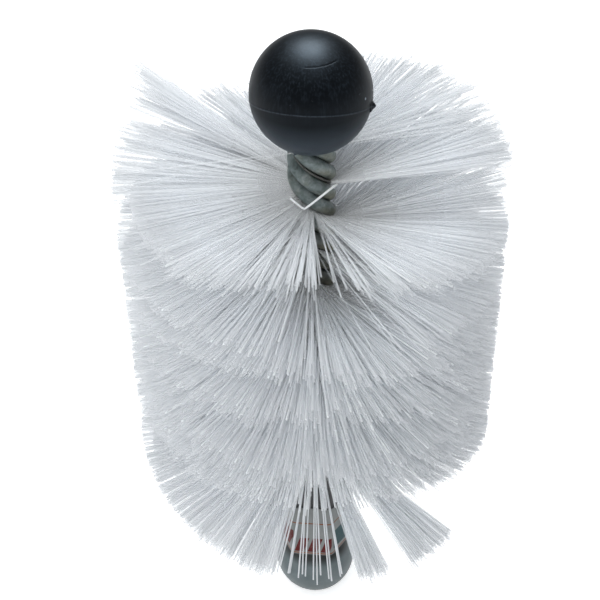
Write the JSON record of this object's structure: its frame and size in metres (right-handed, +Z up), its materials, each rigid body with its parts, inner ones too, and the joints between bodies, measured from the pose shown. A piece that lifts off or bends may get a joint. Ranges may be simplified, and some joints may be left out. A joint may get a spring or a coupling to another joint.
{
  "type": "chimney sweep brush",
  "caption": "Chimney sweep brush: twisted wire stem with helical nylon bristle fans, a black guide ball above, and a six-sided labelled grip with a round end weight below.",
  "frame": {"origin": "middle of the flat foot under the end weight, on the axis of the stem", "axes": "+Z up the stem towards the guide ball, -Y towards the label's front flat and the pictured side, +X to the right as seen from that side"},
  "size_m": [0.2062, 0.2062, 0.3825],
  "materials": {
    "guide_ball": "smooth black rubber with a soft sheen and a fine mould seam",
    "wire": "grey-green mottled galvanised wire",
    "bristle": "translucent white nylon monofilament",
    "crimp_steel": "plain crimped steel",
    "grip": "black moulded plastic",
    "label": "off-white coated card",
    "pin": "bright steel",
    "end_weight": "smooth satin blue-grey paint on a casting",
    "insert": "turned brass"
  },
  "bodies": {
    "root": {"guide_ball": "guide_ball", "ball_ferrule": "crimp_steel", "stem_wire_1": "wire", "stem_wire_2": "wire", "stem_wire_3": "wire", "stem_wire_4": "wire", "bristle_fan_1": "bristle", "bristle_fan_2": "bristle", "bristle_fan_3": "bristle", "bristle_fan_4": "bristle", "bristle_fan_5": "bristle", "bristle_fan_6": "bristle", "bristle_fan_7": "bristle", "bristle_fan_8": "bristle", "bristle_fan_9": "bristle", "stem_ferrule": "crimp_steel", "grip_sleeve": "grip", "label_sleeve": "label", "locking_pin": "pin", "end_weight": "end_weight", "rod_insert": "insert"}
  },
  "joints": []
}
